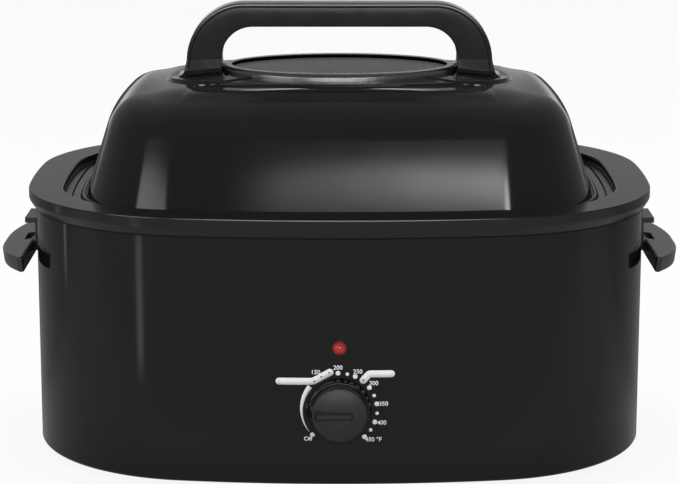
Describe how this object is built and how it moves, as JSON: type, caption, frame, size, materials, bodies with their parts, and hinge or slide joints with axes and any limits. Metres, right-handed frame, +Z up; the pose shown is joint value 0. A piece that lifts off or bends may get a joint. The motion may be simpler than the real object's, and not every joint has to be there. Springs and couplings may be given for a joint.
{
  "type": "electric roaster oven",
  "caption": "Oval countertop electric roaster oven with lift-off domed lid, oval window, arched lid handle, wide collar, removable pan, side grips and front control knob.",
  "frame": {"origin": "on the table, under the centre of the oval casing", "axes": "+Z up, -Y the front with the knob, +X to the right seen from the front, along the length of the oval"},
  "size_m": [0.5866, 0.4403, 0.3785],
  "materials": {
    "casing_enamel": "gloss black enamel",
    "lid_enamel": "gloss black enamel",
    "collar_black": "satin black heat-resistant plastic",
    "handle_black": "satin black phenolic",
    "knob_black": "gloss and fine-textured black",
    "base_black": "matte black paint",
    "well_steel": "aluminised sheet steel",
    "pan_enamel": "speckled dark enamel",
    "rack_chrome": "bright chrome wire",
    "bezel_metal": "dark satin metal",
    "window_pane": "clear tempered glass",
    "seal_rubber": "matte silicone rubber",
    "foot_rubber": "matte rubber",
    "pilot_red": "clear red, glowing",
    "screw_steel": "zinc-plated",
    "blanket_fibre": "glass-fibre felt",
    "element_steel": "heat-tinted",
    "ceramic": "white ceramic",
    "thermostat_case": "brown phenolic",
    "lead_sleeve": "silicone sleeve"
  },
  "bodies": {
    "casing": {"outer_casing": "casing_enamel", "base_plate": "base_black", "collar": "collar_black", "heating_well": "well_steel", "collar_screws": "screw_steel", "insulation_blanket": "blanket_fibre", "heating_band": "element_steel", "band_clamps": "screw_steel", "heater_terminals": "ceramic", "foot_front_left": "foot_rubber", "foot_front_right": "foot_rubber", "foot_rear_left": "foot_rubber", "foot_rear_right": "foot_rubber", "well_standoffs": "screw_steel", "foot_screws": "screw_steel", "thermostat_body": "thermostat_case", "thermostat_plate": "screw_steel", "thermostat_nut": "screw_steel", "pilot_lens": "pilot_red", "pilot_push_nut": "screw_steel", "pilot_lamp": "ceramic", "pivot_pin_left": "screw_steel", "bracket_left": "handle_black", "bracket_backing_left": "screw_steel", "bracket_screws_left": "screw_steel", "pivot_pin_right": "screw_steel", "bracket_right": "handle_black", "bracket_backing_right": "screw_steel", "bracket_screws_right": "screw_steel", "cord_gland": "collar_black", "gland_nut": "collar_black", "terminal_block": "thermostat_case", "internal_leads": "lead_sleeve", "thermal_fuse": "ceramic", "fuse_clip": "screw_steel"},
    "pan": {"roasting_pan": "pan_enamel"},
    "rack": {"roasting_rack": "rack_chrome"},
    "lid": {"lid_shell": "lid_enamel", "window_gasket": "seal_rubber", "window_glass": "window_pane", "window_bezel": "bezel_metal", "lid_handle": "handle_black", "handle_screws": "screw_steel", "handle_washers": "screw_steel"},
    "knob": {"knob": "knob_black", "knob_clip": "screw_steel", "thermostat_shaft": "screw_steel"},
    "left_grip": {"grip_left": "handle_black"},
    "right_grip": {"grip_right": "handle_black"}
  },
  "joints": [
    {"name": "pan_lift", "type": "slide", "parent": "casing", "child": "pan", "axis": [0, 0, 1], "range_m": [0, 0.22]},
    {"name": "rack_lift", "type": "slide", "parent": "pan", "child": "rack", "axis": [0, 0, 1], "range_m": [0, 0.15]},
    {"name": "lid_lift", "type": "slide", "parent": "pan", "child": "lid", "axis": [0, 0, 1], "range_m": [0, 0.25]},
    {"name": "knob_turn", "type": "hinge", "parent": "casing", "child": "knob", "pos_m": [0, -0.2, 0.0717], "axis": [0, 1, 0], "range_deg": [-45, 225]},
    {"name": "left_grip_fold", "type": "hinge", "parent": "casing", "child": "left_grip", "pos_m": [-0.2695, 0, 0.16657], "axis": [0, -1, 0], "range_deg": [0, 80]},
    {"name": "right_grip_fold", "type": "hinge", "parent": "casing", "child": "right_grip", "pos_m": [0.2695, 0, 0.16657], "axis": [0, 1, 0], "range_deg": [0, 80]}
  ]
}
